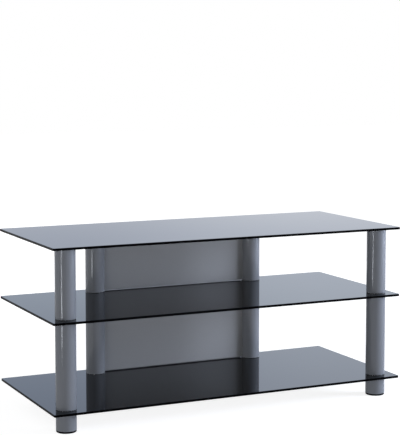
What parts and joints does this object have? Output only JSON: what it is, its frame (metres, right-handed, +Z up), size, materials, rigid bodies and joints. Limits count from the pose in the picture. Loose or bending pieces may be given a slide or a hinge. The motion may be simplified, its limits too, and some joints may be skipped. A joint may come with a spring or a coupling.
{
  "type": "tv stand",
  "caption": "Low open television stand with black glass shelves on round silver posts, sheet back panels between the rear posts and screw-down levelling feet.",
  "frame": {"origin": "on the floor, under the middle of the shelves", "axes": "+X to the right along the long side, +Y from the open front to the back panels, +Z up"},
  "size_m": [0.95, 0.415, 0.445],
  "materials": {
    "black_glass": "polished, opaque",
    "tube_aluminium": "satin silver lacquer",
    "panel_lacquer": "satin silver lacquer",
    "black_plastic": "moulded, fine texture",
    "grey_nylon": "moulded",
    "clear_vinyl": "clear, soft",
    "zinc_steel": "zinc plated"
  },
  "bodies": {
    "rack": {"top_shelf": "black_glass", "middle_shelf": "black_glass", "bottom_shelf": "black_glass", "upper_back_panel": "panel_lacquer", "lower_back_panel": "panel_lacquer", "front_left_upper_tube": "tube_aluminium", "front_left_lower_tube": "tube_aluminium", "front_left_foot_tube": "tube_aluminium", "front_left_tube_plugs": "grey_nylon", "front_left_shelf_studs": "zinc_steel", "front_left_washers": "clear_vinyl", "front_left_bonded_disc": "zinc_steel", "front_right_upper_tube": "tube_aluminium", "front_right_lower_tube": "tube_aluminium", "front_right_foot_tube": "tube_aluminium", "front_right_tube_plugs": "grey_nylon", "front_right_shelf_studs": "zinc_steel", "front_right_washers": "clear_vinyl", "front_right_bonded_disc": "zinc_steel", "rear_left_upper_tube": "tube_aluminium", "rear_left_lower_tube": "tube_aluminium", "rear_left_foot_tube": "tube_aluminium", "rear_left_tube_plugs": "grey_nylon", "rear_left_shelf_studs": "zinc_steel", "rear_left_washers": "clear_vinyl", "rear_left_bonded_disc": "zinc_steel", "rear_right_upper_tube": "tube_aluminium", "rear_right_lower_tube": "tube_aluminium", "rear_right_foot_tube": "tube_aluminium", "rear_right_tube_plugs": "grey_nylon", "rear_right_shelf_studs": "zinc_steel", "rear_right_washers": "clear_vinyl", "rear_right_bonded_disc": "zinc_steel"},
    "front_left_foot": {"front_left_glide": "black_plastic", "front_left_glide_stem": "zinc_steel"},
    "front_right_foot": {"front_right_glide": "black_plastic", "front_right_glide_stem": "zinc_steel"},
    "rear_left_foot": {"rear_left_glide": "black_plastic", "rear_left_glide_stem": "zinc_steel"},
    "rear_right_foot": {"rear_right_glide": "black_plastic", "rear_right_glide_stem": "zinc_steel"}
  },
  "joints": [
    {"name": "front_left_foot_height", "type": "slide", "parent": "rack", "child": "front_left_foot", "axis": [0, 0, -1], "range_m": [0, 0.008]},
    {"name": "front_right_foot_height", "type": "slide", "parent": "rack", "child": "front_right_foot", "axis": [0, 0, -1], "range_m": [0, 0.008]},
    {"name": "rear_left_foot_height", "type": "slide", "parent": "rack", "child": "rear_left_foot", "axis": [0, 0, -1], "range_m": [0, 0.008]},
    {"name": "rear_right_foot_height", "type": "slide", "parent": "rack", "child": "rear_right_foot", "axis": [0, 0, -1], "range_m": [0, 0.008]}
  ]
}
